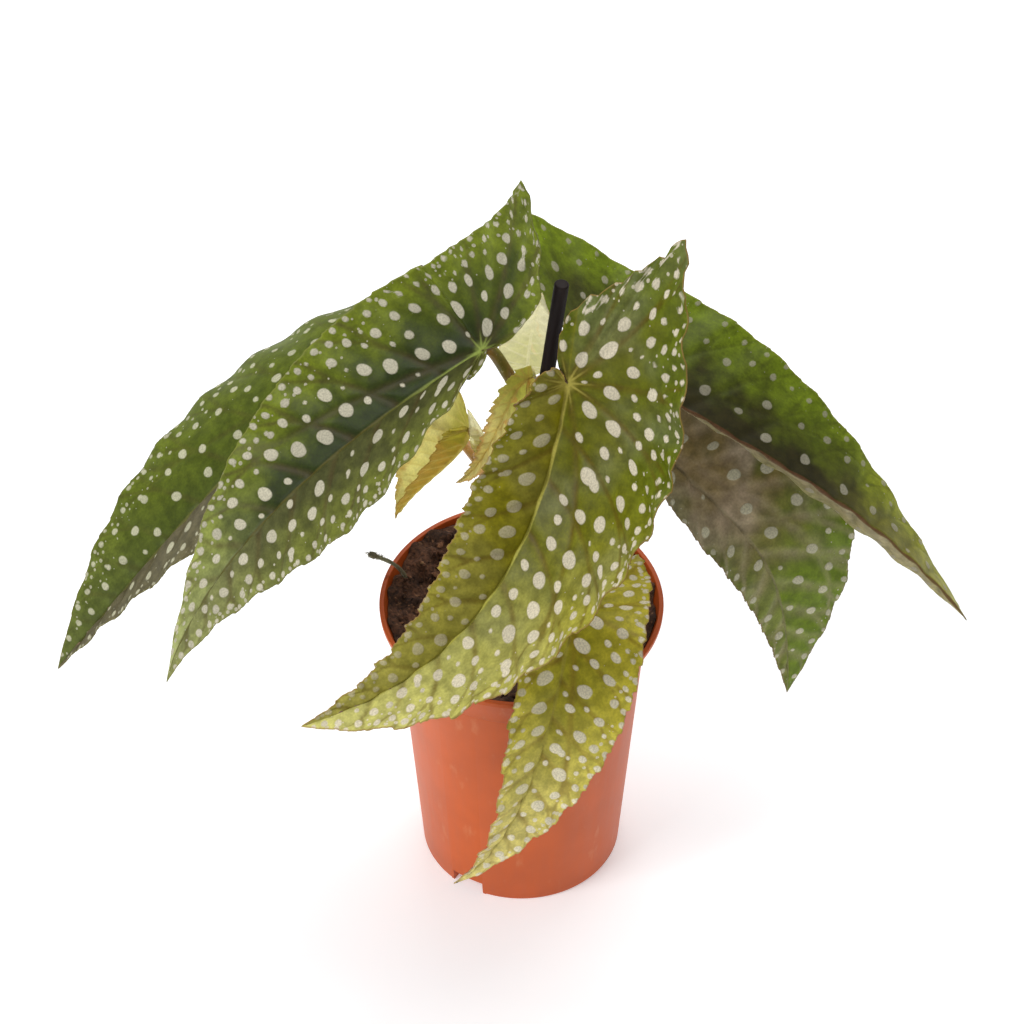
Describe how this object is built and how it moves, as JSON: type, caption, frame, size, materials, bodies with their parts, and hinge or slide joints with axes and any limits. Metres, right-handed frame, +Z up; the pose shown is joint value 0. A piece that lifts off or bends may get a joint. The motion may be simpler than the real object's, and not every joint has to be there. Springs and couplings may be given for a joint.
{
  "type": "potted polka dot begonia",
  "caption": "Cane begonia with long pointed, lopsided, white-spotted leaves, staked and rooted in soil in a round tapered plastic nursery pot; a house plant to stand on a flat surface.",
  "frame": {"origin": "centre of the flat underside of the pot, on the surface that the pot stands on", "axes": "+Z up the pot's axis, -Y towards the front of the plant, +X to the right seen from the front"},
  "size_m": [0.3875, 0.1951, 0.3749],
  "materials": {
    "pot_plastic": "injection-moulded terracotta-orange polypropylene, satin",
    "potting_soil": "loose damp peat with bark chips, matt",
    "stake_plastic": "extruded black plastic stick, satin",
    "dry_stalk": "dry fibrous stalk, matt",
    "cane": "fleshy green-brown stem, satin",
    "leaf_dark": "waxy dark green leaf with silver-white spots, satin",
    "leaf_silver": "grey-green leaf with a silvery sheen and white spots, satin",
    "leaf_olive": "waxy olive-green leaf with silver-white spots, satin",
    "leaf_young": "thin young cream-yellow leaf, satin",
    "stipule": "thin translucent cream sheath, satin"
  },
  "bodies": {
    "root": {"pot": "pot_plastic", "soil": "potting_soil", "stake": "stake_plastic", "twig": "dry_stalk", "cane_main": "cane", "cane_left": "cane", "leaf_left_upper": "leaf_dark", "leaf_left_rear": "leaf_dark", "leaf_right_upper": "leaf_dark", "leaf_right_lower": "leaf_silver", "leaf_front_upper": "leaf_olive", "leaf_front_lower": "leaf_olive", "leaf_young_left": "leaf_young", "leaf_young_middle": "leaf_young", "stipule_large": "stipule", "stipule_small": "stipule"}
  },
  "joints": []
}
